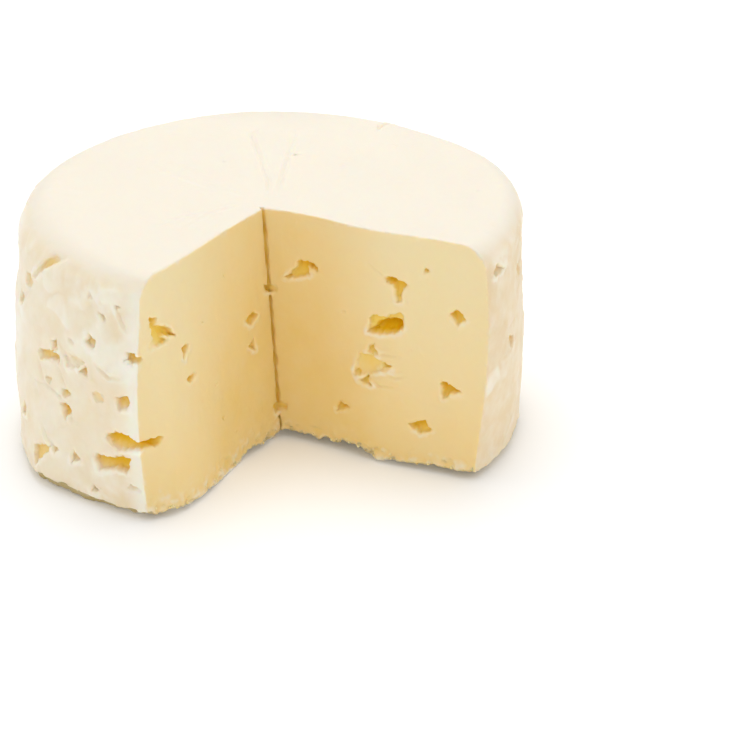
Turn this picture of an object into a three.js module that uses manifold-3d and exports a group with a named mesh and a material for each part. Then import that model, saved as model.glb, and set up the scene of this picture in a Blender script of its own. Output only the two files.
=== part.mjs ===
// A small wheel of fresh pressed white cheese with a wedge cut out of it.
// Millimetres, +Z up. The origin is under the middle of the wheel, level with its
// flat underside, and the wedge is missing from the quarter between +X and -Y.

import * as THREE from 'three';
import { mergeVertices } from 'three/addons/utils/BufferGeometryUtils.js';
import Module from 'manifold-3d';

// ---------------------------------------------------------------- wheel
const HEIGHT = 88.5;
const FOOT_RADIUS = 91.5; // widest, just above the underside
const SHOULDER_RADIUS = 88.5; // where the side starts to round into the top
const FLAT_RADIUS = 85; // the flat part of the underside
const FOOT_ROUND = 5; // height of the rounding between underside and side
const SHOULDER_ROUND = 12.5;
const BELLY = 1.2; // how far the side swells between foot and shoulder
const BASE_CENTRE = new THREE.Vector2(-0.8, -0.9); // so that the whole wheel is centred
const LEAN = new THREE.Vector2(2.6, 1.8); // how far the top has settled sideways
const SEGMENTS_AROUND = 80;

// ---------------------------------------------------------------- missing wedge
// The two knife cuts meet short of the middle, and each is a little out of plumb.
const POINT_BASE = new THREE.Vector2(12.5, -16.6);
const POINT_TOP = new THREE.Vector2(7.1, -15.5);
const CUT_X_ANGLE = [1.0, 2.0]; // degrees from +X of the cut that runs out along +X: base, top
const CUT_Y_ANGLE = [-90.8, -92.6]; // the same for the cut that runs out along -Y
const KNIFE_REACH = 120; // length of each cut, past the outside of the wheel
const KNIFE_MARGIN = 4; // how far the cuts run past the top and the underside
const KNIFE_WAVE = 1.2; // how far the blade wandered
const KNIFE_WAVELENGTH = 56;
const HOLLOW_X = 42; // where along the +X cut the blade went deepest
const SWELL_Y = 52; // where along the -Y cut it stayed shallowest

// ---------------------------------------------------------------- curd openings
// Gaps left between the pieces of curd: where the middle lies, how large across,
// and the turn about the vertical in degrees.
const CUT_X_OPENINGS = [
  // along the cut, height, width, height of gap
  { along: 15.5, up: 68.5, wide: 12, high: 4.5 },
  { along: 51.5, up: 68.5, wide: 8, high: 6.5 },
  { along: 47.5, up: 53.5, wide: 13, high: 6 },
  { along: 43, up: 41, wide: 9, high: 5 },
  { along: 67, up: 33, wide: 10, high: 6 },
];
const CUT_Y_OPENINGS = [
  { along: 64, up: 68, wide: 9, high: 11 },
  { along: 51.5, up: 56, wide: 5.5, high: 6 },
  { along: 50.5, up: 44, wide: 6, high: 4 },
  { along: 12, up: 51, wide: 7, high: 4.5 },
];
const SIDE_OPENINGS = [
  // degrees round the side, height, width, height of gap
  { turn: -94.5, up: 26, wide: 15, high: 4.5 },
  { turn: -97, up: 17, wide: 14, high: 5 },
  { turn: -117, up: 51, wide: 8, high: 6 },
  { turn: -101, up: 62, wide: 6, high: 5 },
  { turn: 14, up: 67, wide: 6, high: 5 },
  { turn: 62, up: 30, wide: 12, high: 5 },
  { turn: 128, up: 52, wide: 9, high: 6 },
  { turn: 176, up: 24, wide: 13, high: 5 },
];
const OPENING_DEPTH = 4.5; // half the depth of a gap, measured into the paste

// ---------------------------------------------------------------- solids
const wasm = await Module();
wasm.setup();

function toSolid(geometry) {
  const bare = geometry.clone();
  bare.deleteAttribute('normal');
  bare.deleteAttribute('uv');
  const merged = mergeVertices(bare, 1e-4);
  return new wasm.Manifold(
    new wasm.Mesh({
      numProp: 3,
      vertProperties: new Float32Array(merged.attributes.position.array),
      triVerts: new Uint32Array(merged.index.array),
    })
  );
}

function toGeometry(solid) {
  const mesh = solid.getMesh();
  const geometry = new THREE.BufferGeometry();
  geometry.setAttribute('position', new THREE.BufferAttribute(mesh.vertProperties, 3));
  geometry.setIndex(new THREE.BufferAttribute(mesh.triVerts, 1));
  geometry.computeVertexNormals();
  return geometry;
}

// Moves every point of a geometry by a rule.
function reshape(geometry, rule) {
  const position = geometry.attributes.position;
  const point = new THREE.Vector3();
  for (let i = 0; i < position.count; i++) {
    point.fromBufferAttribute(position, i);
    rule(point);
    position.setXYZ(i, point.x, point.y, point.z);
  }
  return geometry;
}

// ---------------------------------------------------------------- wheel
function sideRadius(z) {
  const climb = (z - FOOT_ROUND) / (HEIGHT - SHOULDER_ROUND - FOOT_ROUND);
  return THREE.MathUtils.lerp(FOOT_RADIUS, SHOULDER_RADIUS, climb) + BELLY * Math.sin(Math.PI * climb);
}

function quarterTurn(steps, toPoint) {
  return Array.from({ length: steps + 1 }, (_, i) => toPoint((Math.PI / 2) * (i / steps)));
}

function wheelProfile() {
  const foot = quarterTurn(4, (a) => new THREE.Vector2(
    FLAT_RADIUS + (FOOT_RADIUS - FLAT_RADIUS) * Math.sin(a),
    FOOT_ROUND * (1 - Math.cos(a))
  ));
  const side = [];
  for (let step = 1; step < 7; step++) {
    const z = THREE.MathUtils.lerp(FOOT_ROUND, HEIGHT - SHOULDER_ROUND, step / 7);
    side.push(new THREE.Vector2(sideRadius(z), z));
  }
  const shoulder = quarterTurn(6, (a) => new THREE.Vector2(
    SHOULDER_RADIUS - SHOULDER_ROUND * (1 - Math.cos(a)),
    HEIGHT - SHOULDER_ROUND * (1 - Math.sin(a))
  ));
  return [new THREE.Vector2(0, 0), ...foot, ...side, ...shoulder, new THREE.Vector2(0, HEIGHT)];
}

// The middle of the wheel at a height, which drifts sideways as the wheel leans.
function middleAt(z) {
  return BASE_CENTRE.clone().addScaledVector(LEAN, z / HEIGHT);
}

// The mould and the cloth leave the side slightly out of round.
function outOfRound(angle, z) {
  return 0.9 * Math.sin(2 * angle + 0.6) + 0.6 * Math.sin(5 * angle + z / 40);
}

function wheelSolid() {
  const lathe = new THREE.LatheGeometry(wheelProfile(), SEGMENTS_AROUND);
  lathe.rotateX(Math.PI / 2);
  reshape(lathe, (p) => {
    const radius = Math.hypot(p.x, p.y);
    const share = Math.min(1, p.z / FOOT_ROUND) * Math.max(0, radius / FOOT_RADIUS - 0.6) / 0.4;
    const grow = radius > 0 ? 1 + (share * outOfRound(Math.atan2(p.y, p.x), p.z)) / radius : 1;
    const middle = middleAt(p.z);
    p.x = p.x * grow + middle.x;
    p.y = p.y * grow + middle.y;
  });
  return toSolid(lathe);
}

// ---------------------------------------------------------------- wedge
// Where a point of the cut-out lies: along one cut, along the other, and height.
function inNotch(alongX, alongY, z) {
  const climb = z / HEIGHT;
  const point = POINT_BASE.clone().lerp(POINT_TOP, climb);
  const angleX = THREE.MathUtils.degToRad(THREE.MathUtils.lerp(...CUT_X_ANGLE, climb));
  const angleY = THREE.MathUtils.degToRad(THREE.MathUtils.lerp(...CUT_Y_ANGLE, climb));
  const turn = (2 * Math.PI) / KNIFE_WAVELENGTH;
  const waveX = -KNIFE_WAVE * Math.cos(turn * (alongX - HOLLOW_X));
  const waveY = KNIFE_WAVE * Math.cos(turn * (alongY - SWELL_Y)) * (1 - 0.7 * climb);
  return new THREE.Vector3(
    point.x + alongX * Math.cos(angleX) + alongY * Math.cos(angleY) + waveY,
    point.y + alongX * Math.sin(angleX) + alongY * Math.sin(angleY) + waveX,
    z
  );
}

function wedgeSolid() {
  const tall = HEIGHT + 2 * KNIFE_MARGIN;
  const box = new THREE.BoxGeometry(KNIFE_REACH, KNIFE_REACH, tall, 12, 12, 8);
  box.translate(KNIFE_REACH / 2, KNIFE_REACH / 2, HEIGHT / 2);
  reshape(box, (p) => p.copy(inNotch(p.x, p.y, p.z)));
  // The two cut directions are a left-handed pair, so the faces are turned over.
  const index = box.index.array;
  for (let i = 0; i < index.length; i += 3) {
    [index[i], index[i + 1]] = [index[i + 1], index[i]];
  }
  return toSolid(box);
}

// ---------------------------------------------------------------- openings
// A lumpy gap: wide along its own x, deep along its own y and high along z.
function openingSolid(centre, turn, wide, high, lump) {
  const blob = new THREE.IcosahedronGeometry(1, 2);
  reshape(blob, (p) => {
    const bump = 1 + 0.16 * Math.sin(5 * p.x + lump) + 0.14 * Math.sin(6 * p.z + 2 * lump);
    p.multiplyScalar(bump).multiply(new THREE.Vector3(wide / 2, OPENING_DEPTH, high / 2));
  });
  blob.rotateZ(turn);
  blob.translate(centre.x, centre.y, centre.z);
  return toSolid(blob);
}

function openings() {
  const gaps = [];
  const add = (centre, turn, gap) => gaps.push(openingSolid(centre, turn, gap.wide, gap.high, gaps.length));
  for (const gap of CUT_X_OPENINGS) {
    add(inNotch(gap.along, 0, gap.up), 0, gap);
  }
  for (const gap of CUT_Y_OPENINGS) {
    add(inNotch(0, gap.along, gap.up), Math.PI / 2, gap);
  }
  for (const gap of SIDE_OPENINGS) {
    const angle = THREE.MathUtils.degToRad(gap.turn);
    const radius = sideRadius(gap.up);
    const middle = middleAt(gap.up);
    const centre = new THREE.Vector3(
      middle.x + radius * Math.cos(angle),
      middle.y + radius * Math.sin(angle),
      gap.up
    );
    add(centre, angle + Math.PI / 2, gap);
  }
  return gaps;
}

// ---------------------------------------------------------------- assembly
const paste = new THREE.MeshStandardMaterial({ color: '#f3e6c8', roughness: 0.5, metalness: 0 });

let solid = wheelSolid().subtract(wedgeSolid());
for (const gap of openings()) {
  solid = solid.subtract(gap);
}

const wheel = new THREE.Mesh(toGeometry(solid), paste);
wheel.name = 'cheese_wheel';

const cheese = new THREE.Group();
cheese.add(wheel);

export default cheese;
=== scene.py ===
import math

import bpy
import numpy as np
import openvdb
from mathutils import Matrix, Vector


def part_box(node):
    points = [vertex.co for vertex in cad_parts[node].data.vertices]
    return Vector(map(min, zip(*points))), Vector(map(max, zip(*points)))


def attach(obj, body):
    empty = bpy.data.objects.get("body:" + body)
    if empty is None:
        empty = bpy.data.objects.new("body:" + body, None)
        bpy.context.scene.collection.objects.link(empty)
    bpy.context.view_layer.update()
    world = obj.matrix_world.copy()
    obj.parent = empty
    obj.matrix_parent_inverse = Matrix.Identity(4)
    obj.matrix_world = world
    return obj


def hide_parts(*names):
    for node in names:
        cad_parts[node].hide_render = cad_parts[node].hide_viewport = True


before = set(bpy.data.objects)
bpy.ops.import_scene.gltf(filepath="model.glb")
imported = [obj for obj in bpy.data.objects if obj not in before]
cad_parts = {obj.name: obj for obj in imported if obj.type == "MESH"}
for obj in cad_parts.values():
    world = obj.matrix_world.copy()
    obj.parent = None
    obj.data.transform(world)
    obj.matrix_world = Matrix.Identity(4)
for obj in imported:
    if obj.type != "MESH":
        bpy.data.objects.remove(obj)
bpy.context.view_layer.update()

# A small wheel of fresh pressed cheese with a wedge cut out. The field functions below work in
# millimetres, in the frame's own axes, and the meshes are made in metres.
MM = 1000.0
WHEEL = "cheese_wheel"

# ------------------------------------------------------------------ driving sizes, millimetres
wheel_low, wheel_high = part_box(WHEEL)
HEIGHT = (wheel_high.z - wheel_low.z) * MM
FOOT_RADIUS = (wheel_high.x - wheel_low.x) / 2 * MM - 1.1
SHOULDER_RADIUS = FOOT_RADIUS - 3.0
FLAT_RADIUS = FOOT_RADIUS - 6.5
SHOULDER_ROUND = 12.5
FOOT_ROUND = 5.0
BELLY = 1.2
RIM_HEIGHT = 3.2  # the torn lower edge of the side stands this far above the table
UNDERCUT_RADIUS = FLAT_RADIUS + 4.0  # where the underside turns up to that edge
LIFTED_HEIGHT = 3.5  # how high the lower edge of the cut along +X is torn away
RAGGED_HEIGHT = 1.5  # and that of the cut along -Y
BASE_CENTRE = np.array((-0.8, -0.9))
LEAN = np.array((2.6, 1.8))

# The two knife cuts: where they meet, base and top, and the way each runs, in degrees.
POINT_BASE = np.array((12.5, -16.6))
POINT_TOP = np.array((7.1, -15.5))
CUT_X_TURN = (1.0, 2.0)
CUT_Y_TURN = (-90.8, -92.6)
KNIFE_WAVE = 1.2
KNIFE_WAVELENGTH = 56.0
HOLLOW_X = 42.0  # where along the +X cut the blade went deepest
SWELL_Y = 52.0  # where along the -Y cut it stayed shallowest
FLARE_X = 1.5  # how far each cut turns outwards where the knife left the wheel
FLARE_Y = 6.3

GRID_STEP = 0.5
TRIANGLES = 192000
FIELD_REACH = 3.0  # how far from the surface the field is kept
GRID_REACH = 97.0  # the grid's half width, a little more than the wheel's
GRID_BELOW = 2.0  # how far the grid runs on under the table
GRID_ABOVE = 3.0  # and over the top
CURD_SIZE = (15.0, 15.0, 9.0)
CRUMBS = 60
CRUMB_RADII = (0.0003, 0.0007)  # metres, smallest and largest
CRUMB_LUMPS = 0.0009  # metres
CRUMB_SINK = 0.25  # how deep the middle of a crumb sits in the paste
GAP_EDGE = 0.25  # rounding of an opening's edge
GROOVE_WIDTH = 1.1  # the knife strokes cross a little beyond the inner corner
GROOVE_DEPTH = 1.5
GROOVE_REGION = 8.0  # half the width of the stretch of grid that the groove is cut in


# ------------------------------------------------------------------ small maths
def smoothstep(low, high, value):
    t = np.clip((value - low) / (high - low), 0.0, 1.0)
    return t * t * (3.0 - 2.0 * t)


def soft_max(a, b, blend):
    share = np.clip(0.5 + 0.5 * (a - b) / blend, 0.0, 1.0)
    return b + (a - b) * share + blend * share * (1.0 - share)


def hill(value, middle, spread):
    return np.exp(-(((value - middle) / spread) ** 2))


def turn_matrix(seed):
    """A fixed, arbitrary rotation, so that no two layers of noise share their grid."""
    square = np.random.RandomState(seed).normal(size=(3, 3))
    turn, _ = np.linalg.qr(square)
    return turn.astype(np.float32)


def noise(points, size, seed):
    """Smooth noise from -1 to 1 whose lumps are about size across, at an (N, 3) array of points."""
    table = np.random.RandomState(seed + 1000).uniform(-1, 1, (32, 32, 32)).astype(np.float32)
    place = points @ turn_matrix(seed) / size + 400.0
    cell = np.floor(place).astype(np.int32)
    f = place - cell
    f = f * f * f * (f * (f * 6 - 15) + 10)
    total = 0.0
    for corner in range(8):
        step = np.array(((corner >> 2) & 1, (corner >> 1) & 1, corner & 1))
        weight = np.prod(np.where(step, f, 1 - f), axis=1)
        at = (cell + step) & 31
        total = total + weight * table[at[:, 0], at[:, 1], at[:, 2]]
    return total * 1.6


def rough(points, size, seed, layers=3):
    """Several layers of noise, each half the size and about half the strength of the last."""
    total, strength = 0.0, 1.0
    for layer in range(layers):
        total = total + strength * noise(points, size / 2**layer, seed + 17 * layer)
        strength *= 0.5
    return total / 1.6


def curd_cells(points, size, seed):
    """Distance to the nearest and second nearest curd, and a number for the nearest one."""
    rng = np.random.RandomState(seed)
    jitter = rng.uniform(0.1, 0.9, (16, 16, 16, 3)).astype(np.float32)
    tone = rng.uniform(-1, 1, (16, 16, 16)).astype(np.float32)
    place = points / np.array(size, np.float32) + 160.0
    cell = np.floor(place).astype(np.int32)
    near = np.full(len(points), 9.0, np.float32)
    second = near.copy()
    value = np.zeros(len(points), np.float32)
    for shift in np.ndindex(3, 3, 3):
        other = cell + np.array(shift) - 1
        at = other & 15
        spot = other + jitter[at[:, 0], at[:, 1], at[:, 2]]
        away = np.linalg.norm(place - spot, axis=1)
        closer = away < near
        second = np.where(closer, near, np.minimum(second, away))
        value = np.where(closer, tone[at[:, 0], at[:, 1], at[:, 2]], value)
        near = np.where(closer, away, near)
    return near, second, value


# ------------------------------------------------------------------ the wheel before it is cut
def middle_at(z):
    climb = z / HEIGHT
    return BASE_CENTRE[0] + LEAN[0] * climb, BASE_CENTRE[1] + LEAN[1] * climb


def side_radius(z):
    climb = (z - FOOT_ROUND) / (HEIGHT - SHOULDER_ROUND - FOOT_ROUND)
    swell = BELLY * np.sin(np.pi * np.clip(climb, 0, 1))
    return FOOT_RADIUS + (SHOULDER_RADIUS - FOOT_RADIUS) * climb + swell


# Places where the cloth pressed the side in or left it proud:
# degrees round, height, how wide in degrees, how tall, how proud.
SIDE_BULGES = (
    (-117, 6, 10, 14, 3.2),
    (-98, 6, 8, 12, -0.4),
    (-92, 50, 10, 40, 1.3),
    (-6, 62, 13, 40, 2.6),
    (-135, 40, 14, 30, 0.6),
    (-150, 74, 12, 12, -0.8),
    (-152, 44, 20, 26, -2.2),
    (-152, 6, 20, 18, -2.8),
    (60, 60, 25, 20, 0.7),
    (95, 30, 16, 18, -0.8),
    (170, 55, 22, 25, 0.6),
)


def out_of_round(angle, z):
    proud = 0.9 * np.sin(2 * angle + 0.6) + 0.6 * np.sin(5 * angle + z / 40)
    for turn, up, wide, tall, amount in SIDE_BULGES:
        proud = proud + amount * hill(angle_off(angle, turn), 0, wide) * hill(z, up, tall)
    return proud


def angle_off(angle, turn):
    """Degrees between an angle in radians and a direction in degrees."""
    return np.degrees(np.angle(np.exp(1j * (angle - math.radians(turn))))).astype(np.float32)


def shoulder_round(angle):
    """The top edge is tight all round but for the front left, and slack again at one place behind."""
    return 8.0 + 4.5 * hill(angle_off(angle, -142), 0, 36) + 3.0 * hill(angle_off(angle, 72), 0, 18)


def top_height(x, y):
    """The top isn't quite level: it is a little higher at the back and gently uneven."""
    dish = 0.25 * np.sin(x / 23 + 0.5) * np.cos(y / 19) + 0.2 * np.sin((x + y) / 31)
    return HEIGHT - 0.5 + dish + 0.006 * (y * 0.88 - x * 0.47)


def pleats(x, y):
    """Depth of the folds that the cloth leaves in the underside, running out from the middle."""
    radius = np.hypot(x - 10, y + 14)
    angle = np.degrees(np.arctan2(y + 14, x - 10))
    rng = np.random.RandomState(7)
    depth = np.zeros_like(radius)
    for i in range(72):
        turn = i * 5.0 + rng.uniform(-1.8, 1.8)
        start = (9, 26, 17, 38)[i % 4] + rng.uniform(-4, 6)
        stop = rng.uniform(58, 84)
        bend = rng.uniform(-0.05, 0.05)
        off = (angle - turn - bend * radius + 180) % 360 - 180
        across = np.radians(off) * radius
        run = smoothstep(start, start + 9, radius) * (1 - smoothstep(stop - 10, stop, radius))
        width = rng.uniform(0.7, 1.2)
        groove = rng.uniform(0.7, 1.3) * hill(across, 0, width)
        ridge = 0.45 * hill(across, 2.1 * width, 1.2 * width)
        depth = depth + run * (groove - ridge)
    return depth


def floor_height(x, y):
    """How high the underside stands above the table: pleated, and undercut at its ragged edges."""
    spots = np.stack([x, y, np.zeros_like(x)], -1).reshape(-1, 3)
    dx, dy = x - BASE_CENTRE[0], y - BASE_CENTRE[1]
    radius = np.hypot(dx, dy) - out_of_round(np.arctan2(dy, dx), RIM_HEIGHT)
    torn = rough(spots, 7.0, 21).reshape(x.shape)
    fine = rough(spots, 3.2, 22).reshape(x.shape)
    crumbly = 0.5 * smoothstep(62, 82, radius) * rough(spots, 4.5, 23).reshape(x.shape)
    under = UNDERCUT_RADIUS + 0.7 * torn
    rim = RIM_HEIGHT + 0.6 * hill(angle_off(np.arctan2(dy, dx), -116), 0, 20)
    rise = (rim + 0.35 * fine + 0.5 * torn) * smoothstep(under, under + 0.9, radius)
    before_y, before_x, along_y, along_x = cut_distances(x, y, RIM_HEIGHT)
    lifted = smoothstep(-15, -11, before_x + 2.0 * torn) * smoothstep(-2, 3, along_x)
    lifted = lifted * (LIFTED_HEIGHT + torn + 0.8 * fine) * (1 - 0.35 * smoothstep(30, 46, along_x))
    ragged = smoothstep(-7.5, -5.0, before_y + 1.2 * torn) * smoothstep(0, 6, along_y)
    ragged = ragged * (RAGGED_HEIGHT + 1.2 * torn + 0.8 * fine)
    rise = np.maximum(rise, np.maximum(lifted, ragged))
    flat = np.maximum(0.35 + 0.55 * pleats(x, y) + crumbly, 0.0)
    return flat * (1 - smoothstep(0, 3, rise)) + rise


# ------------------------------------------------------------------ the field on a grid
class Grid:
    """Evenly spaced points round the wheel, and the distance outside it at each of them."""

    def __init__(self):
        self.low = np.array((-GRID_REACH, -GRID_REACH, -GRID_BELOW))
        self.x = np.arange(self.low[0], GRID_REACH, GRID_STEP, dtype=np.float32)
        self.y = np.arange(self.low[1], GRID_REACH, GRID_STEP, dtype=np.float32)
        self.z = np.arange(self.low[2], HEIGHT + GRID_ABOVE, GRID_STEP, dtype=np.float32)

    def whole(self):
        return self.x[:, None, None], self.y[None, :, None], self.z[None, None, :]

    def near(self, place, size):
        """The part of the grid within size of a place, as slices and as coordinates."""
        cuts = []
        for axis, spots in enumerate((self.x, self.y, self.z)):
            first = int((place[axis] - size - self.low[axis]) / GRID_STEP)
            last = int((place[axis] + size - self.low[axis]) / GRID_STEP) + 2
            cuts.append(slice(max(first, 0), min(last, len(spots))))
        x, y, z = self.x[cuts[0]], self.y[cuts[1]], self.z[cuts[2]]
        return tuple(cuts), x[:, None, None], y[None, :, None], z[None, None, :]

    def sample(self, field, points):
        """The field between the grid's points, at an (N, 3) array of points."""
        place = (points - self.low) / GRID_STEP
        limit = np.array(field.shape) - 2
        cell = np.clip(np.floor(place).astype(np.int32), 0, limit)
        f = np.clip(place - cell, 0.0, 1.0)
        total = 0.0
        for corner in range(8):
            step = np.array(((corner >> 2) & 1, (corner >> 1) & 1, corner & 1))
            weight = np.prod(np.where(step, f, 1 - f), axis=1)
            at = cell + step
            total = total + weight * field[at[:, 0], at[:, 1], at[:, 2]]
        return total


def wheel_field(grid):
    x, y, z = grid.whole()
    plan_x, plan_y = np.meshgrid(grid.x, grid.y, indexing="ij")
    middle_x, middle_y = middle_at(z)
    radius = np.hypot(x - middle_x, y - middle_y)
    angle = np.arctan2(y - middle_y, x - middle_x)
    turn = np.arctan2(plan_y - BASE_CENTRE[1] - LEAN[1] / 2, plan_x - BASE_CENTRE[0] - LEAN[0] / 2)
    edge = shoulder_round(turn)[:, :, None]
    out = radius - (side_radius(z) + out_of_round(angle, z) - edge)
    up = z - (top_height(plan_x, plan_y)[:, :, None] - edge)
    corner = np.hypot(np.maximum(out, 0), np.maximum(up, 0))
    body = corner + np.minimum(np.maximum(out, up), 0) - edge
    ground = floor_height(plan_x, plan_y)[:, :, None]
    return np.maximum(body, ground - z).astype(np.float32)


# ------------------------------------------------------------------ the missing wedge
def knife_frame(z):
    """The point where the cuts meet and each cut's direction, at a height."""
    climb = z / HEIGHT
    point_x = POINT_BASE[0] + (POINT_TOP[0] - POINT_BASE[0]) * climb
    point_y = POINT_BASE[1] + (POINT_TOP[1] - POINT_BASE[1]) * climb
    turn_x = np.radians(CUT_X_TURN[0] + (CUT_X_TURN[1] - CUT_X_TURN[0]) * climb)
    turn_y = np.radians(CUT_Y_TURN[0] + (CUT_Y_TURN[1] - CUT_Y_TURN[0]) * climb)
    return point_x, point_y, turn_x, turn_y


def flare_y(along, z):
    """The cut along -Y turns outwards as the knife leaves the wheel, most near the table."""
    return FLARE_Y * (1 - (np.clip(z, 0, HEIGHT) / 92) ** 1.6) * smoothstep(62, 78, along)


def flare_x(along, z):
    return FLARE_X * smoothstep(70, 82, along) * (1 - smoothstep(76, 86, z))


def cut_distances(x, y, z):
    """How far a place lies in front of each cut face: the one along -Y, then the one along +X."""
    point_x, point_y, turn_x, turn_y = knife_frame(z)
    dx = x - point_x
    dy = y - point_y
    along_x = dx * np.cos(turn_x) + dy * np.sin(turn_x)
    along_y = dx * np.cos(turn_y) + dy * np.sin(turn_y)
    wave = 2 * np.pi / KNIFE_WAVELENGTH
    wave_x = -KNIFE_WAVE * np.cos(wave * (along_x - HOLLOW_X))
    wave_y = KNIFE_WAVE * np.cos(wave * (along_y - SWELL_Y)) * (1 - 0.7 * z / HEIGHT)
    before_y = -dx * np.sin(turn_y) + dy * np.cos(turn_y) - wave_y + flare_y(along_y, z)
    before_x = dx * np.sin(turn_x) - dy * np.cos(turn_x) + wave_x + flare_x(along_x, z)
    return before_y, before_x, along_y, along_x


def cut_point(along_x, along_y, z):
    """A place on the cuts, from the distance along one of them and the height."""
    point_x, point_y, turn_x, turn_y = knife_frame(z)
    wave = 2 * np.pi / KNIFE_WAVELENGTH
    wave_x = -KNIFE_WAVE * np.cos(wave * (along_x - HOLLOW_X)) * (along_x > 0)
    wave_y = KNIFE_WAVE * np.cos(wave * (along_y - SWELL_Y)) * (1 - 0.7 * z / HEIGHT) * (along_y > 0)
    return np.array((
        point_x + along_x * math.cos(turn_x) + along_y * math.cos(turn_y) + wave_y - flare_y(along_y, z),
        point_y + along_x * math.sin(turn_x) + along_y * math.sin(turn_y) + wave_x + flare_x(along_x, z),
        z,
    ))


def cut_notch(grid, field):
    x, y, z = grid.whole()
    before_y, before_x, _, _ = cut_distances(x, y, z)
    notch = -soft_max(-before_y, -before_x, 0.5)
    return np.maximum(field, notch).astype(np.float32)


def open_groove(grid, field):
    """The knife strokes cross a little beyond the inner corner, and tear it more lower down."""
    cuts, x, y, _ = grid.near((POINT_BASE[0] - 2.5, POINT_BASE[1] + 0.5, HEIGHT / 2), GROOVE_REGION)
    cuts = (cuts[0], cuts[1], slice(None))
    z = grid.z[None, None, :]
    before_y, before_x, _, _ = cut_distances(x, y, z)
    torn = 0.5 * np.sin(z / 2.1 + 1.3 * np.sin(z / 5.7)) + 0.5 * np.sin(z / 0.9 + x)
    wide = GROOVE_WIDTH / 2 + 0.22 * torn * (1.6 - z / HEIGHT)
    share = np.clip(-(0.8 * before_y + 0.6 * before_x), 0.0, GROOVE_DEPTH + 0.6 * torn)
    groove = wide - np.hypot(before_y + 0.8 * share, before_x + 0.6 * share)
    field[cuts] = np.maximum(field[cuts], groove)
    return field


# ------------------------------------------------------------------ curd openings
# Each wall gives a place and three directions seen from outside: right, up and into the paste.
UPWARD = np.array((0.0, 0.0, 1.0))


def on_cut_x(along, up):
    return cut_point(along, 0.0, up), np.array((1.0, 0.0, 0.0)), UPWARD, np.array((0.0, 1.0, 0.0))


def on_cut_y(along, up):
    return cut_point(0.0, along, up), np.array((0.0, 1.0, 0.0)), UPWARD, np.array((-1.0, 0.0, 0.0))


def on_side(turn, up):
    angle = math.radians(turn)
    out = np.array((math.cos(angle), math.sin(angle), 0.0))
    edge = float(shoulder_round(angle))
    above = np.clip((up - HEIGHT + 0.5 + edge) / edge, 0.0, 0.95)
    tip = math.asin(above)
    radius = float(side_radius(up) + out_of_round(angle, up)) - edge * (1 - math.cos(tip))
    right = np.array((-math.sin(angle), math.cos(angle), 0.0))
    inward = -(out * math.cos(tip) + UPWARD * math.sin(tip))
    place = np.array((*middle_at(up), up)) + out * radius
    return place, right, np.cross(right, inward), inward


def on_top(x, y):
    place = np.array((x, y, float(top_height(x, y))))
    right = np.array((0.883, 0.469, 0.0))
    return place, right, np.array((-0.469, 0.883, 0.0)), -UPWARD


# Openings whose shape shows: the wall, where along it (or degrees round the side), height,
# depth, and the outline from the opening's middle: right, then up.
SHAPED_GAPS = (
    # the torn cluster and the inner end of the long slit, on the cut along -Y
    (on_cut_y, 65, 66.5, 3.4, ((-4, 7), (0, 6), (-0.5, 3), (4, 1), (8, -4), (1, -1), (3, -4), (-5, -4),
                               (-3, -1))),
    (on_cut_y, 72, 29, 4.5, ((-5, 1), (0, 1), (5, 1), (3, -2), (-5, -1))),
    # the hooked gap, the forked one, the wide recess with its deep hollow, and the folded patch
    (on_cut_x, 14, 67, 3.2, ((-7, -4), (-3, 0), (-2, 3.5), (3, 3.5), (6, 2), (5.5, 0.5), (1.5, 1.5),
                             (3, -1), (-2, -3))),
    (on_cut_x, 51.5, 68, 3.2, ((-4.5, 3), (-2, 4), (4, 2), (1.5, -1), (1.5, -5), (0, -5), (-1.5, 1),
                               (-4.5, 1.5))),
    (on_cut_x, 48, 55, 2.0, ((-8, -5), (-7, 1.5), (-2, 1.5), (4, 4.5), (5.5, 3), (4.5, -1), (-3, -5))),
    (on_cut_x, 48, 54, 9.0, ((-8, -4), (-4, 1), (2, 3), (5, 2), (5.5, -0.5), (2, -3), (-3, -4))),
    (on_cut_x, 41, 37.5, 1.3, ((-5.5, 3.5), (0, 4.5), (7, -1), (2, -2), (-5, -4.5), (-7, -3))),
    # the long slit that runs into the cut, the dented one below it, and the one along the shoulder
    (on_side, -92, 29, 5.0, ((-8, -0.5), (-3.5, 2.5), (2, 2.5), (5, 1), (9, 1.5), (9, -1), (2, -2.5),
                             (-3, -3.5))),
    (on_side, -95, 19.5, 4.6, ((-8.5, 0.5), (0, 1.5), (4, 3.5), (7, 3), (5.5, -2), (1, -1.5), (-6, -4.5))),
    (on_side, -120.5, 79, 2.4, ((8, 4), (5, 5.5), (0, 2), (-8, -7), (-4, -5), (3, 1))),
    # a streak, a shallow dent and a torn corner further left
    (on_side, -115.5, 48.5, 3.0, ((-8, -1), (0, 2.5), (5, 3), (5.5, 0), (0, -0.5), (-6.5, -3))),
    (on_side, -106.5, 51.5, 1.2, ((-5.5, 0), (0, 2), (4.5, 1), (1, -1.5), (-4, -3))),
    (on_side, -116.5, 12, 2.8, ((-5, 1), (1, 3.5), (6, 4.5), (2, 0), (-3, -5))),
)

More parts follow.
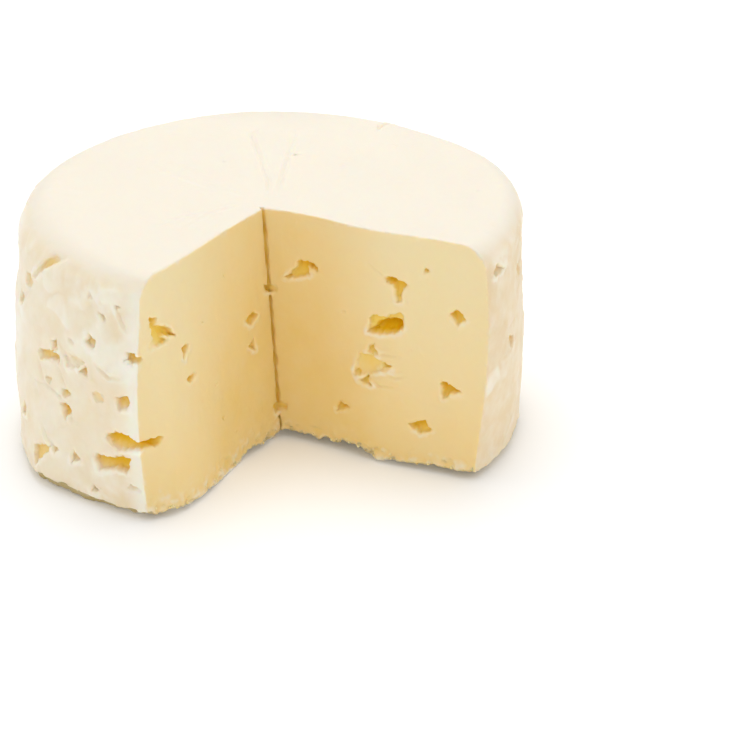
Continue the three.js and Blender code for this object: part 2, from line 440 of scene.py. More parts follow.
# Plainer openings: where along the wall and height, width, height, depth, tilt in degrees,
# and how many curds stood round the gap. With 2 it is a slit.
CUT_Y_GAPS = (
    (0.5, 12.5, 4.0, 5.0, 3.0, 90, 4),
    (33, 22, 2.2, 1.2, 1.5, 10, 2),
    (25, 72, 1.6, 1.0, 1.2, 0, 5),
    (41, 61, 1.5, 1.0, 1.2, 0, 5),
    (36, 36, 1.4, 1.0, 1.0, 0, 5),
    (53, 56, 8.0, 5.0, 3.0, 45, 3),
    (51, 45, 8.0, 3.8, 2.8, 10, 3),
    (11, 51, 8.5, 4.2, 3.4, 5, 4),
    (12, 41, 5.0, 4.4, 2.8, -20, 3),
    (1, 58.5, 5.5, 3.2, 3.0, -20, 4),
)
CUT_X_GAPS = (
    (68.5, 33, 10.0, 7.0, 4.2, 15, 3),
    (73, 61, 7.5, 5.4, 3.6, -30, 4),
    (27, 18, 7.0, 4.0, 3.4, 20, 3),
    (58, 17, 9.5, 5.5, 4.2, -12, 4),
    (30, 55, 1.5, 1.1, 1.2, 0, 5),
    (62, 76, 4.0, 2.4, 2.0, 30, 3),
    (41, 43.5, 5.0, 6.0, 3.2, 0, 3),
    (38, 31, 5.5, 5.0, 3.0, 20, 3),
    (34.5, 33.5, 3.2, 3.2, 2.0, 0, 4),
    (46, 38, 6.5, 3.6, 2.6, 25, 3),
)
SIDE_GAPS = (
    (-108, 58, 3.0, 1.4, 0.9, -14, 2),
    (-109.5, 32, 6.0, 5.5, 3.4, -60, 3),
    (-99.5, 42, 4.2, 2.6, 1.4, -20, 4),
    (-127.5, 21, 6.0, 5.6, 3.0, 60, 3),
    (-112, 16, 4.4, 2.8, 2.0, -20, 3),
    (-94.5, 76.5, 3.0, 1.8, 1.6, -30, 3),
    (-100.5, 6.5, 4.2, 3.0, 2.0, 10, 3),
    (12.5, 68.5, 9.5, 6.0, 3.6, 20, 3),
    (-3.5, 78, 8.5, 5.0, 2.6, 0, 3),
    (4, 47, 7.0, 4.4, 3.0, -20, 3),
    (-92, 43.5, 6.5, 5.5, 3.6, 35, 4),
    (-90, 12, 5.8, 2.4, 2.0, -5, 3),
    (-90, 60, 6.0, 4.8, 3.6, 0, 5),
    (-128, 69.5, 6.0, 5.0, 2.0, 30, 4),
    (-131.5, 60.5, 7.0, 5.0, 2.2, 35, 4),
    (-102.5, 77, 2.4, 2.2, 1.4, 0, 3),
    (-98.5, 71.5, 3.8, 2.2, 1.6, -30, 3),
    (-114, 53.5, 3.4, 4.8, 2.4, 0, 4),
    (-101.5, 61, 5.6, 5.2, 3.0, 45, 5),
    (-103.5, 49.5, 4.4, 5.2, 3.8, 10, 3),
    (-116, 39.5, 4.0, 2.6, 1.8, 15, 3),
    (-110, 38, 5.4, 3.0, 2.4, 0, 3),
    (-106, 16, 5.0, 4.0, 2.4, 30, 3),
)
TOP_GAPS = (
    # x, y on the top
    (-8, 34.5, 4.8, 2.8, 2.6, 30, 3),
    (20, 62, 1.6, 1.0, 0.8, 0, 5),
)
HIDDEN_SIDE_GAPS = 76  # openings round the rest of the side
HIDDEN_TURNS = (22, 222)


def hidden_side_gaps():
    """Openings of the same kinds and sizes round the part of the side with none listed above."""
    rng = np.random.RandomState(41)
    gaps = []
    for _ in range(HIDDEN_SIDE_GAPS):
        wide = 3.0 + 9.0 * rng.beta(1.4, 2.3)
        high = wide * rng.uniform(0.4, 0.85)
        deep = min(4.2, 1.0 + 0.3 * wide)
        curds = int(rng.choice((2, 2, 3, 3, 3, 4)))
        place = (rng.uniform(*HIDDEN_TURNS), 6 + 76 * rng.beta(1.1, 1.4))
        gaps.append((*place, wide, min(high, 6.0), deep, rng.uniform(-45, 45), curds))
    return gaps


def curd_outline(wide, high, tilt, curds, seed):
    """The mouth of a gap between that many curds, whose round sides bow into it."""
    rng = np.random.RandomState(300 + seed)
    start = 0.0 if curds == 2 else rng.uniform(0, 2 * math.pi)
    bow = 0.9 if curds == 2 else math.cos(math.pi / curds)
    lean = math.radians(tilt)
    spots = []
    for i in range(2 * curds):
        angle = start + math.pi * (i + rng.uniform(-0.2, 0.2)) / curds
        reach = rng.uniform(0.8, 1.15) if i % 2 == 0 else bow * rng.uniform(0.85, 1.15)
        u = reach * math.cos(angle) * wide / 2
        v = reach * math.sin(angle) * high / 2
        spots.append((u * math.cos(lean) - v * math.sin(lean), u * math.sin(lean) + v * math.cos(lean)))
    return tuple(spots)


def outline_distance(u, v, outline):
    """Distance to a closed outline at each (u, v), below 0 inside it."""
    shape = np.broadcast(u, v).shape
    nearest = np.full(shape, 99.0, np.float32)
    inside = np.zeros(shape, bool)
    for (u0, v0), (u1, v1) in zip(outline, outline[1:] + outline[:1]):
        du, dv = u1 - u0, v1 - v0
        share = np.clip(((u - u0) * du + (v - v0) * dv) / (du * du + dv * dv), 0, 1)
        nearest = np.minimum(nearest, np.hypot(u - u0 - share * du, v - v0 - share * dv))
        if v0 != v1:
            inside ^= ((v0 > v) != (v1 > v)) & (u < du * (v - v0) / dv + u0)
    return np.where(inside, -nearest, nearest)


def open_gap(grid, field, wall, deep, outline, seed, spread):
    """Takes one opening out of the field: deeper at its top, with a slightly proud lower lip."""
    place, right, upward, inward = wall
    rng = np.random.RandomState(600 + seed)
    phase = rng.uniform(0, 6.28, 4)
    reach = max(max(abs(u), abs(v)) for u, v in outline) + deep / 2 + 2.5
    cuts, x, y, z = grid.near(place, reach)
    dx, dy, dz = x - place[0], y - place[1], z - place[2]
    u = dx * right[0] + dy * right[1] + dz * right[2]
    v = dx * upward[0] + dy * upward[1] + dz * upward[2]
    w = dx * inward[0] + dy * inward[1] + dz * inward[2]
    small = 0.22 * min(1.0, reach / 7)
    u = u + small * np.sin(2.1 * v + phase[0]) + 0.7 * small * np.sin(4.7 * v + 1.9 * w + phase[1])
    v = v + small * np.sin(2.3 * u + phase[2]) + 0.7 * small * np.sin(4.4 * u + 2.2 * w + phase[3])
    low = min(v0 for _, v0 in outline)
    high = max(v0 for _, v0 in outline)
    mouth = outline_distance(u, v, outline) - spread
    floor = deep * (0.25 + 0.85 * np.clip((v - low) / (high - low), 0, 1))
    gap = np.maximum(mouth + 0.25 * np.maximum(w, 0), np.maximum(w - floor, -w - 3.0))
    proud = 0.55 * min(1.0, (high - low) / 4.0) ** 1.5
    lip = proud * hill(mouth, 0.8, 0.8) * smoothstep(high, low, v) * hill(w, 0, 1.6)
    field[cuts] = soft_max(field[cuts] - lip, -gap, GAP_EDGE)


# How much wider than its outline an opening is on each wall.
MOUTH_SPREAD = {on_cut_x: 0.1, on_cut_y: 0.1, on_side: 0.35, on_top: 0.0}


def open_gaps(grid, field):
    seed = 0
    for wall, first, second, deep, outline in SHAPED_GAPS:
        open_gap(grid, field, wall(first, second), deep, outline, seed, MOUTH_SPREAD[wall])
        seed += 1
    walls = (
        (on_cut_y, CUT_Y_GAPS),
        (on_cut_x, CUT_X_GAPS),
        (on_side, SIDE_GAPS),
        (on_side, hidden_side_gaps()),
        (on_top, TOP_GAPS),
    )
    for wall, gaps in walls:
        for first, second, wide, high, deep, tilt, curds in gaps:
            outline = curd_outline(wide, high, tilt, curds, seed)
            open_gap(grid, field, wall(first, second), deep, outline, seed, MOUTH_SPREAD[wall])
            seed += 1
    return field


# ------------------------------------------------------------------ fine surface
def seam_marks():
    """Creases and cracks: points on a wall, width, depth and the height of one raised edge."""
    marks = []
    for spots, width, depth in (
        (((4, -6), (-4, 8), (-18, 26), (-33, 45), (-34, 58)), 0.8, 0.6),
        (((6, -3), (0, 10), (-6, 24), (-14, 42), (-23, 63)), 0.8, 0.6),
        (((3, 0), (-8, 16), (-18, 36), (-30, 66)), 1.8, 0.22),
        (((0, -14), (-6, -28), (-8, -46)), 0.8, 0.12),
        (((-4, -16), (-13, -34), (-18, -50)), 0.8, 0.12),
        (((12, -4), (18, 14), (22, 40)), 1.4, 0.10),
        (((-2, -8), (-24, -6), (-52, 2)), 1.2, 0.10),
    ):
        marks.append(([on_top(*spot)[0] for spot in spots], width, depth, 0.15))
    shoulder = [on_side(*spot)[0] for spot in ((-114, 84), (-117, 82), (-122, 76.5), (-126, 70), (-129, 63))]
    marks.append((shoulder, 0.9, 0.9, 0.7))
    rim = [on_top(*spot)[0] for spot in ((6.5, 72.5), (5, 77), (7, 82), (5.5, 87))]
    marks.append((rim, 0.8, 1.1, 0.3))
    for spots in (((-94.5, 76), (-93, 72), (-91.5, 69)), ((-121, 47.5), (-118, 48), (-115, 49)),
                  ((-110, 53), (-107, 52), (-104, 50)), ((-100, 54), (-96, 51), (-93, 52)),
                  ((-112, 36), (-109, 33), (-107, 29)), ((-118, 22), (-115, 18), (-112, 16))):
        marks.append(([on_side(*spot)[0] for spot in spots], 0.7, 0.6, 0.25))
    for spots in (((40, 76.5), (44, 73.5), (48, 71)), ((38, 46), (44, 42), (52, 43)),
                  ((42, 38), (49, 34), (54, 36)), ((39, 33), (43, 30), (50, 31))):
        marks.append(([on_cut_x(*spot)[0] for spot in spots], 0.6, 0.35, 0.2))
    return marks


def seam_depth(points):
    """How far each point sinks, in millimetres, because of the creases and cracks."""
    sink = np.zeros(len(points))
    for spots, width, depth, lip in seam_marks():
        nearest = np.full(len(points), 1e3)
        total = len(spots) - 1
        share = np.zeros(len(points))
        for i in range(total):
            start, way = spots[i], spots[i + 1] - spots[i]
            along = np.clip((points - start) @ way / (way @ way), 0.0, 1.0)
            away = np.linalg.norm(points - start - along[:, None] * way, axis=1)
            closer = away < nearest
            share = np.where(closer, (i + along) / total, share)
            nearest = np.where(closer, away, nearest)
        fade = np.sin(np.pi * np.clip(share, 0.04, 0.96)) ** 0.5
        below = points[:, 2] < spots[0][2] + share * (spots[-1][2] - spots[0][2])
        sink = sink + fade * depth * hill(nearest, 0, width)
        sink = sink - fade * lip * below * hill(nearest, 1.9 * width, 0.9 * width)
    return sink


def wall_shares(points, beyond):
    """How far each point is cut paste, skin of the top, the crumbly lower edge, and skin that
    borders the cut along -Y.

    beyond is the distance of each point outside the wheel as it was before it was cut.
    """
    before_y, before_x, _, _ = cut_distances(*points.T)
    nearest = np.minimum(before_y, before_x)
    cut = smoothstep(0.0, 0.5, nearest - beyond)
    corner = (1 - smoothstep(2.5, 3.5, np.hypot(before_y, before_x))) * (points[:, 2] < 20)
    cut = np.maximum(cut, corner)
    top = smoothstep(HEIGHT - 7, HEIGHT - 1.5, points[:, 2]) * (1 - cut)
    low = 1 - smoothstep(2.0, 7.0, points[:, 2] + 1.2 * rough(points, 6, 59, 2))
    return cut, top, low, smoothstep(-9, -1.5, before_y) * (before_y < before_x) * (1 - cut)


def skin_relief(points, cut, top, low, beside, gap):
    """How proud of the smooth shape each point stands, in millimetres."""
    bent = points + np.stack([noise(points, 9, 61), noise(points, 9, 62), noise(points, 7, 63)], -1) * 1.5
    near, second, tone = curd_cells(bent, CURD_SIZE, 5)
    seams = 1 - smoothstep(0.0, 0.14, second - near)
    broken = smoothstep(0.05, 0.6, noise(points, 22, 64))
    side = (1 - cut) * (1 - 0.85 * top)
    relief = side * (0.32 * tone * smoothstep(0.0, 0.3, second - near) - 0.45 * seams * broken)
    relief = relief + side * 0.6 * rough(points, 24, 65, 2)
    relief = relief + side * (0.12 + 0.16 * beside) * rough(points, 4.5, 66, 2)
    relief = relief + (1 - cut) * 0.05 * noise(points, 2.0, 71)
    angle = np.arctan2(points[:, 1], points[:, 0])
    wrinkled = hill(angle_off(angle, -99), 0, 9) + hill(angle_off(angle, -3), 0, 9)
    wrinkled = side * wrinkled * hill(points[:, 2], 77, 9)
    relief = relief + 0.3 * wrinkled * rough(points, 3.4, 72)
    relief = relief + top * 0.07 * rough(points * np.array((1.0, 0.6, 1.0)), 7.0, 73, 2)
    drawn = points * np.array((1, 1, 0.45))
    relief = relief + cut * (0.13 * rough(drawn, 4.0, 67) + 0.06 * noise(points, 1.3, 68))
    crumble = cut * (1 - smoothstep(2, 16, points[:, 2])) ** 2 + 0.35 * (1 - cut) * low
    relief = relief + crumble * (0.6 * rough(points, 3.6, 69) + 0.25 * noise(points, 1.5, 70))
    return relief * (1 - 0.8 * gap) - seam_depth(points) * (1 - gap)


def point_normals(points, quads):
    a, b, c, d = (points[quads[:, i]] for i in range(4))
    face = np.cross(c - a, d - b)
    normals = np.zeros_like(points)
    for i in range(4):
        for axis in range(3):
            normals[:, axis] += np.bincount(quads[:, i], face[:, axis], len(points))
    return normals / np.maximum(np.linalg.norm(normals, axis=1, keepdims=True), 1e-9)


def finished_points(mesh):
    coords = np.empty(len(mesh.vertices) * 3, np.float32)
    mesh.vertices.foreach_get("co", coords)
    return coords.reshape(-1, 3) * MM


def vertex_normals(mesh):
    normals = np.empty(len(mesh.vertices) * 3, np.float32)
    mesh.vertex_normals.foreach_get("vector", normals)
    return normals.reshape(-1, 3)


def add_share(mesh, name, values):
    layer = mesh.attributes.new(name, "FLOAT", "POINT")
    layer.data.foreach_set("value", np.ascontiguousarray(values, np.float32))


def plain_copy(piece):
    """The piece as its modifiers leave it, as one plain mesh."""
    evaluated = piece.evaluated_get(bpy.context.evaluated_depsgraph_get())
    mesh = bpy.data.meshes.new_from_object(evaluated)
    piece.modifiers.clear()
    return mesh


def make_wheel(material):
    grid = Grid()
    body = wheel_field(grid)
    plain = cut_notch(grid, body)
    opened = open_gaps(grid, open_groove(grid, plain.copy()))
    volume = openvdb.FloatGrid(background=FIELD_REACH)
    volume.copyFromArray(np.clip(opened, -FIELD_REACH, FIELD_REACH), ijk=(0, 0, 0), tolerance=0.0)
    points, _, quads = volume.convertToPolygons(isovalue=0.0, adaptivity=0.0)
    points = points.astype(np.float64) * GRID_STEP + grid.low
    quads = quads.astype(np.int64)
    normals = point_normals(points, quads)
    if (normals * points).sum() < 0:
        quads = quads[:, ::-1]
        normals = -normals
    gap = smoothstep(0.5, 1.6, -grid.sample(plain, points))
    shares = wall_shares(points, grid.sample(body, points))
    points = points + normals * skin_relief(points, *shares, gap)[:, None]
    points[:, 2] = np.clip(points[:, 2], 0.0, HEIGHT)

    mesh = bpy.data.meshes.new("wheel_paste")
    mesh.from_pydata(points / MM, [], quads)
    piece = bpy.data.objects.new("wheel_paste", mesh)
    bpy.context.collection.objects.link(piece)
    thin = piece.modifiers.new("Thin", "DECIMATE")
    thin.ratio = TRIANGLES / (2 * len(quads))
    piece.data = plain_copy(piece)
    piece.data.name = "wheel_paste"

    mesh = piece.data
    mesh.polygons.foreach_set("use_smooth", np.ones(len(mesh.polygons), bool))
    points = finished_points(mesh)
    cut, top, _, beside = wall_shares(points, grid.sample(body, points))
    before_y, before_x, _, _ = cut_distances(*points.T)
    add_share(mesh, "cut", cut)
    # Painted highlight: a pale strip of skin along the edge of the cut along -Y.
    add_share(mesh, "painted_cut_edge_highlight", beside * (1 - top))
    add_share(mesh, "top", top)
    depth = -grid.sample(plain, points)
    # Partly rubbed pale and partly painted highlight: skin and paste standing proud of the smooth shape,
    # such as the lips below openings, are coloured paler where light catches them from above.
    add_share(mesh, "proud", smoothstep(0.1, 0.7, -depth) * (1 - top))
    # Partly painted shade: the walls of the openings are coloured golden, and deeper golden the deeper they
    # go, for the shade and warm bounced light inside them as well as the paste's own yellow.
    add_share(mesh, "gap", smoothstep(0.15, 1.5, depth - 0.3 * top - 0.4 * (1 - cut) * (1 - top)))
    add_share(mesh, "painted_gap_shade", smoothstep(1.2, 3.6, depth))
    # Partly painted shade: the cut paste is coloured deeper yellow towards the notch's inner corner and
    # towards the table, where shade falls; in part it is paste that is yellower further inside the wheel.
    corner = 1 - smoothstep(0, 62, np.hypot(before_y, before_x))
    lower = (1 - points[:, 2] / HEIGHT) ** 1.5
    add_share(mesh, "inner", np.clip(0.75 * corner + 0.8 * lower, 0, 1))
    middle_x, middle_y = middle_at(points[:, 2])
    dx, dy = points[:, 0] - middle_x, points[:, 1] - middle_y
    inset = side_radius(points[:, 2]) + out_of_round(np.arctan2(dy, dx), points[:, 2]) - np.hypot(dx, dy)
    # Painted shade: skin set in from the side near the table, and cut paste there that faces down, is
    # coloured dark olive for the shadow under the rim.
    painted_undercut_shade = np.maximum(1 - smoothstep(2.4, 4.2, inset), smoothstep(1.3, 2.4, points[:, 2]))
    painted_undercut_shade = painted_undercut_shade * smoothstep(0.6, 1.4, inset) * (points[:, 2] < 7)
    facing_down = smoothstep(0.1, 0.6, -vertex_normals(mesh)[:, 2])
    add_share(mesh, "painted_undercut_shade", painted_undercut_shade * np.maximum(1 - cut, facing_down))
    # Painted shade: the side's skin turns warmer and darker towards +X, where it turns away from the light.
    add_share(mesh, "painted_right_shade", smoothstep(52, 88, points[:, 0] + 0.25 * points[:, 1]))
    mesh.materials.append(material)
    return piece


# ------------------------------------------------------------------ material
class Nodes:
    """A short way to add linked nodes to a material's or the world's tree."""

    def __init__(self, owner):
        owner.use_nodes = True
        self.tree = owner.node_tree
        self.tree.nodes.clear()

    def add(self, kind, values=None, **settings):
        node = self.tree.nodes.new(kind)
        for name, value in settings.items():
            setattr(node, name, value)
        for name, value in (values or {}).items():
            if isinstance(value, bpy.types.NodeSocket):
                self.tree.links.new(value, node.inputs[name])
            else:
                node.inputs[name].default_value = value
        return node

    def share(self, name):
        return self.add("ShaderNodeAttribute", attribute_name=name).outputs["Fac"]

    def noise(self, place, scale, detail=3.0, roughness=0.55):
        node = self.add("ShaderNodeTexNoise", {
            "Vector": place, "Scale": scale, "Detail": detail, "Roughness": roughness})
        return node.outputs["Fac"]

    def ramp(self, value, low, high, start=0.0, stop=1.0):
        node = self.add("ShaderNodeMapRange", {
            "Value": value, "From Min": low, "From Max": high, "To Min": start, "To Max": stop})
        return node.outputs["Result"]

    def maths(self, operation, first, second):
        node = self.add("ShaderNodeMath", {0: first, 1: second}, operation=operation)
        return node.outputs[0]

    def mix(self, share, first, second, blend="MIX"):
        node = self.add("ShaderNodeMix", data_type="RGBA", blend_type=blend)
        sockets = [s for s in node.inputs if s.enabled]
        for socket, value in zip(sockets, (share, first, second)):
            if isinstance(value, bpy.types.NodeSocket):
                self.tree.links.new(value, socket)
            else:
                socket.default_value = value
        return [s for s in node.outputs if s.enabled][0]


# Colours of the paste, linear.
# Painted shade: the top's skin is coloured darker than the side's to offset the stronger light that falls on
# the top.
TOP_SKIN_DARKENED = (0.83, 0.765, 0.645, 1.0)
SIDE_SKIN = (0.90, 0.80, 0.615, 1.0)
# Warmer skin: the tone of the random patches, and also painted shade on the side towards +X.
SIDE_WARM_AND_SHADE = (0.85, 0.68, 0.43, 1.0)
# Pale skin: the random bloom, and painted highlight on raised lips and along the cut's edge.
SKIN_PALE_AND_HIGHLIGHT = (0.97, 0.91, 0.79, 1.0)
CUT = (0.97, 0.785, 0.465, 1.0)
# Deeper yellow of the paste: the crumbs' random tone, and painted shade towards the notch's inner corner and
# the table.
CUT_DEEP_AND_SHADE = (0.88, 0.64, 0.235, 1.0)
# Golden colours of the openings: the paste's yellow, deepened as painted shade inside them.
GAP_SHADE = (0.96, 0.68, 0.16, 1.0)
GAP_DEEP_SHADE = (0.94, 0.60, 0.012, 1.0)
SIDE_GAP_SHADE = (0.95, 0.70, 0.30, 1.0)
# Dark olive painted where shadow falls in the undercut under the rim.
UNDERCUT_SHADE = (0.56, 0.44, 0.20, 1.0)
GAP_ROUGHNESS = (0.28, 0.28, 0.28, 1.0)  # the paste is wetter inside the openings
SCATTER_RADIUS = (1.0, 0.7, 0.4)  # how far each colour travels in the paste, relatively


def paste_material():
    material = bpy.data.materials.new("pressed_curd_paste")
    n = Nodes(material)
    place = n.add("ShaderNodeTexCoord").outputs["Object"]
    cut, top, gap, inner = (n.share(name) for name in ("cut", "top", "gap", "inner"))

    patches = n.ramp(n.noise(place, 38, 4), 0.35, 0.8)
    bloom = n.ramp(n.noise(place, 130, 3), 0.4, 0.75)
    skin = n.mix(patches, SIDE_SKIN, SIDE_WARM_AND_SHADE)
    # painted shade on the side towards +X
    skin = n.mix(n.share("painted_right_shade"), skin, SIDE_WARM_AND_SHADE)
    skin = n.mix(n.maths("MULTIPLY", bloom, 0.4), skin, SKIN_PALE_AND_HIGHLIGHT)
    # raised skin paler: partly rubbed pale, partly painted highlight
    skin = n.mix(n.maths("MULTIPLY", n.share("proud"), 0.7), skin, SKIN_PALE_AND_HIGHLIGHT)
    # painted highlight along the edge of the cut
    skin = n.mix(n.maths("MULTIPLY", n.share("painted_cut_edge_highlight"), 0.75), skin, SKIN_PALE_AND_HIGHLIGHT)
    # top skin darkened against the stronger light on the top, painted shade
    skin = n.mix(top, skin, TOP_SKIN_DARKENED)
    grain = n.ramp(n.noise(place, 90, 4), 0.3, 0.75)
    # deeper yellow towards the inner corner and the table, partly painted shade
    cut_colour_and_light = n.mix(inner, CUT, CUT_DEEP_AND_SHADE)
    cut_colour_and_light = n.mix(n.maths("MULTIPLY", grain, 0.15), cut_colour_and_light, SIDE_SKIN)
    # raised paste paler: partly rubbed pale, partly painted highlight
    cut_colour_and_light = n.mix(n.maths("MULTIPLY", n.share("proud"), 0.8), cut_colour_and_light, SIDE_SKIN)
    colour = n.mix(cut, skin, cut_colour_and_light)
    # painted shade inside the openings, golden and deeper golden with depth
    painted_hollow_shade = n.mix(n.share("painted_gap_shade"), n.mix(cut, SIDE_GAP_SHADE, GAP_SHADE), GAP_DEEP_SHADE)
    colour = n.mix(gap, colour, painted_hollow_shade)
    # painted shadow in the undercut under the rim
    colour = n.mix(n.share("painted_undercut_shade"), colour, UNDERCUT_SHADE)

    shine = n.ramp(n.noise(place, 60, 4), 0.3, 0.7, 0.40, 0.56)
    wet = n.mix(gap, shine, GAP_ROUGHNESS)

    curds = n.noise(place, 420, 3, 0.6)
    pores = n.noise(place, 1500, 2, 0.5)
    height = n.maths("ADD", n.maths("MULTIPLY", curds, 0.7), n.maths("MULTIPLY", pores, 0.3))
    bump = n.add("ShaderNodeBump", {"Height": height, "Strength": 0.35, "Distance": 0.0004})

    shader = n.add("ShaderNodeBsdfPrincipled", {
        "Base Color": colour,
        "Roughness": wet,
        "Normal": bump.outputs["Normal"],
        "Subsurface Weight": 0.7,
        "Subsurface Radius": SCATTER_RADIUS,
        "Subsurface Scale": 0.0012,
        "IOR": 1.42,
        "Specular IOR Level": 0.4,
        "Coat Weight": 0.06,
        "Coat Roughness": 0.3,
    })
    n.add("ShaderNodeOutputMaterial", {"Surface": shader.outputs["BSDF"]})
    return material


# ------------------------------------------------------------------ crumbs
def crumb_material():
    material = bpy.data.materials.new("loose_crumbs")
    n = Nodes(material)
    place = n.add("ShaderNodeTexCoord").outputs["Object"]
    tone = n.ramp(n.noise(place, 500, 3), 0.35, 0.7)
    bump = n.add("ShaderNodeBump", {"Height": n.noise(place, 2200, 2), "Strength": 0.2, "Distance": 0.0002})
    shader = n.add("ShaderNodeBsdfPrincipled", {
        "Base Color": n.mix(tone, CUT, CUT_DEEP_AND_SHADE),
        "Roughness": n.ramp(tone, 0.0, 1.0, 0.5, 0.65),
        "Normal": bump.outputs["Normal"],
        "Subsurface Weight": 0.7,
        "Subsurface Radius": SCATTER_RADIUS,
        "Subsurface Scale": 0.0008,
        "Specular IOR Level": 0.2,
    })
    n.add("ShaderNodeOutputMaterial", {"Surface": shader.outputs["BSDF"]})
    return material


def crumb_tree(material):
    """Scatters small broken grains of curd on the points of a mesh."""
    tree = bpy.data.node_groups.new("Loose crumbs", "GeometryNodeTree")
    face = tree.interface
    face.new_socket("Geometry", in_out="INPUT", socket_type="NodeSocketGeometry")
    smallest = face.new_socket("Smallest crumb", in_out="INPUT", socket_type="NodeSocketFloat")
    largest = face.new_socket("Largest crumb", in_out="INPUT", socket_type="NodeSocketFloat")
    lumps = face.new_socket("Lumpiness", in_out="INPUT", socket_type="NodeSocketFloat")
    face.new_socket("Geometry", in_out="OUTPUT", socket_type="NodeSocketGeometry")
    smallest.default_value, largest.default_value = CRUMB_RADII
    lumps.default_value = CRUMB_LUMPS
    nodes, links = tree.nodes, tree.links
    entry = nodes.new("NodeGroupInput")
    end = nodes.new("NodeGroupOutput")
    grain = nodes.new("GeometryNodeMeshIcoSphere")
    grain.inputs["Radius"].default_value = 1.0
    grain.inputs["Subdivisions"].default_value = 2
    turn = nodes.new("FunctionNodeRandomValue")
    turn.data_type = "FLOAT_VECTOR"
    turn.inputs["Max"].default_value = (6.28, 6.28, 6.28)  # a whole turn about each axis
    turn.inputs["Seed"].default_value = 3
    size = nodes.new("FunctionNodeRandomValue")
    size.data_type = "FLOAT"
    size.inputs["Seed"].default_value = 4
    size_low, size_high = [s for s in size.inputs if s.enabled and s.name in ("Min", "Max")]
    links.new(entry.outputs["Smallest crumb"], size_low)
    links.new(entry.outputs["Largest crumb"], size_high)
    scatter = nodes.new("GeometryNodeInstanceOnPoints")
    links.new(entry.outputs["Geometry"], scatter.inputs["Points"])
    links.new(grain.outputs["Mesh"], scatter.inputs["Instance"])
    links.new([s for s in turn.outputs if s.enabled][0], scatter.inputs["Rotation"])
    links.new([s for s in size.outputs if s.enabled][0], scatter.inputs["Scale"])
    real = nodes.new("GeometryNodeRealizeInstances")
    links.new(scatter.outputs["Instances"], real.inputs["Geometry"])
    texture = nodes.new("ShaderNodeTexNoise")
    texture.inputs["Scale"].default_value = 900.0
    centred = nodes.new("ShaderNodeVectorMath")
    centred.operation = "SUBTRACT"
    centred.inputs[1].default_value = (0.5, 0.5, 0.5)
    links.new(texture.outputs["Color"], centred.inputs[0])
    scaled = nodes.new("ShaderNodeVectorMath")
    scaled.operation = "SCALE"
    links.new(centred.outputs["Vector"], scaled.inputs[0])
    links.new(entry.outputs["Lumpiness"], scaled.inputs["Scale"])
    shift = nodes.new("GeometryNodeSetPosition")
    links.new(real.outputs["Geometry"], shift.inputs["Geometry"])
    links.new(scaled.outputs["Vector"], shift.inputs["Offset"])
    finish = nodes.new("GeometryNodeSetMaterial")
    finish.inputs["Material"].default_value = material
    links.new(shift.outputs["Geometry"], finish.inputs["Geometry"])
    links.new(finish.outputs["Geometry"], end.inputs["Geometry"])
    return tree


def make_crumbs(wheel, material):
    points = finished_points(wheel.data)
    rng = np.random.RandomState(88)
    z = points[:, 2]
    before_y, before_x, along_y, along_x = cut_distances(*points.T)
    beside = (np.minimum(before_y, before_x) > -1.2) & (np.maximum(along_y, along_x) > 4)
    edge = np.flatnonzero((z > 1.4) & (z < 5.0) & beside)
    chosen = rng.choice(edge, CRUMBS, replace=False)
    places = points[chosen] - CRUMB_SINK * vertex_normals(wheel.data)[chosen]
    mesh = bpy.data.meshes.new("crumb_places")
    mesh.from_pydata(places / MM, [], [])
    piece = bpy.data.objects.new("edge_crumbs", mesh)
    bpy.context.collection.objects.link(piece)
    modifier = piece.modifiers.new("Crumbs", "NODES")
    modifier.node_group = crumb_tree(material)
    sockets = {item.name: item.identifier for item in modifier.node_group.interface.items_tree}
    modifier[sockets["Smallest crumb"]], modifier[sockets["Largest crumb"]] = CRUMB_RADII
    modifier[sockets["Lumpiness"]] = CRUMB_LUMPS
    piece.data = plain_copy(piece)
    piece.data.name = "edge_crumbs"
    piece.data.polygons.foreach_set("use_smooth", np.ones(len(piece.data.polygons), bool))
    return piece


# ------------------------------------------------------------------ stage
TABLE_HALF = 4.0  # metres
SKY_LEVELS = (0.5, 1.01)  # from the horizon to overhead
LENS = 110.0  # millimetres, on a sensor 36 wide
SENSOR = 36.0
CAMERA_ROUND = 28.0  # degrees from -Y towards +X
CAMERA_RISE = 26.0  # degrees above the table
CAMERA_AWAY = 0.828
CAMERA_TARGET = (0.0318, 0.0166, 0.0178)


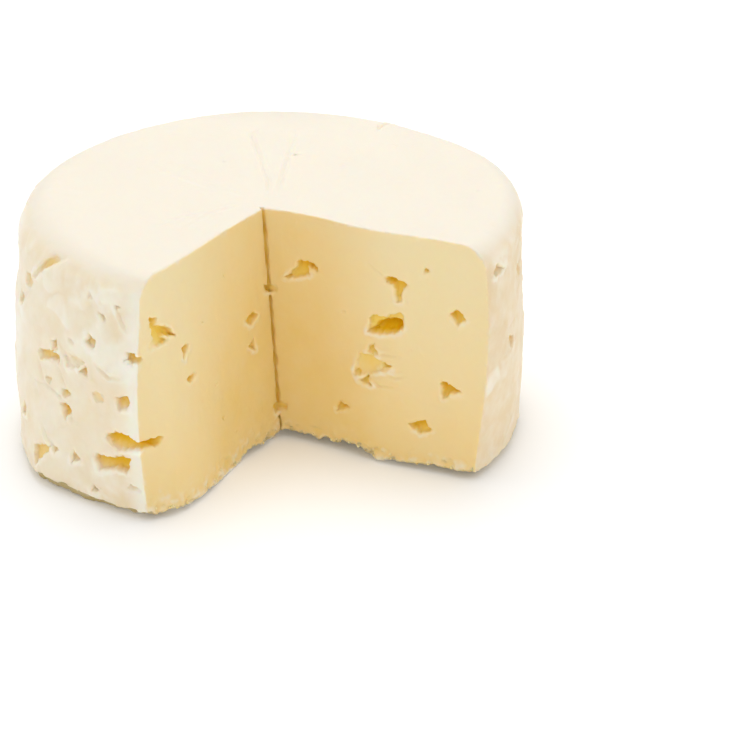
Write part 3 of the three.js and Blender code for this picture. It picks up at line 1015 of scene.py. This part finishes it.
def make_floor():
    material = bpy.data.materials.new("white_table")
    n = Nodes(material)
    shader = n.add("ShaderNodeBsdfPrincipled", {
        "Base Color": (0.94, 0.94, 0.94, 1.0), "Roughness": 0.9, "Specular IOR Level": 0.1,
        "Emission Color": (1.0, 1.0, 1.0, 1.0), "Emission Strength": 0.07})
    n.add("ShaderNodeOutputMaterial", {"Surface": shader.outputs["BSDF"]})
    mesh = bpy.data.meshes.new("table")
    corners = [(x * TABLE_HALF, y * TABLE_HALF, 0) for x, y in ((-1, -1), (1, -1), (1, 1), (-1, 1))]
    mesh.from_pydata(corners, [], [(0, 1, 2, 3)])
    mesh.materials.append(material)
    floor = bpy.data.objects.new("table", mesh)
    bpy.context.collection.objects.link(floor)


def aim(thing, place, target):
    thing.location = place
    thing.rotation_euler = (Vector(target) - Vector(place)).to_track_quat("-Z", "Y").to_euler()


def add_softbox(name, place, size, watts):
    data = bpy.data.lights.new(name, "AREA")
    data.size = size
    data.energy = watts
    light = bpy.data.objects.new(name, data)
    bpy.context.collection.objects.link(light)
    aim(light, place, (0.0, 0.0, 0.04))


def light_studio():
    world = bpy.data.worlds.new("soft_studio")
    n = Nodes(world)
    direction = n.add("ShaderNodeTexCoord").outputs["Generated"]
    up = n.add("ShaderNodeSeparateXYZ", {"Vector": direction}).outputs["Z"]
    sky = n.add("ShaderNodeBackground", {"Strength": n.ramp(up, 0.0, 0.8, *SKY_LEVELS)})
    sky.inputs["Color"].default_value = (1.0, 1.0, 1.0, 1.0)
    n.add("ShaderNodeOutputWorld", {"Surface": sky.outputs["Background"]})
    bpy.context.scene.world = world
    add_softbox("overhead", (-0.25, 0.4, 1.5), 1.0, 7.5)
    bpy.context.scene.view_settings.view_transform = "Standard"


def place_camera():
    data = bpy.data.cameras.new("camera")
    data.lens = LENS
    data.sensor_width = SENSOR
    camera = bpy.data.objects.new("camera", data)
    bpy.context.collection.objects.link(camera)
    around, up = math.radians(CAMERA_ROUND), math.radians(CAMERA_RISE)
    target = Vector(CAMERA_TARGET)
    back = Vector((math.sin(around) * math.cos(up), -math.cos(around) * math.cos(up), math.sin(up)))
    aim(camera, target + back * CAMERA_AWAY, target)
    bpy.context.scene.camera = camera


# ------------------------------------------------------------------ the whole scene
place_camera()
light_studio()
make_floor()
paste = paste_material()
wheel = make_wheel(paste)
crumbs = make_crumbs(wheel, crumb_material())
for piece in (wheel, crumbs):
    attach(piece, "root")
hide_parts(WHEEL)
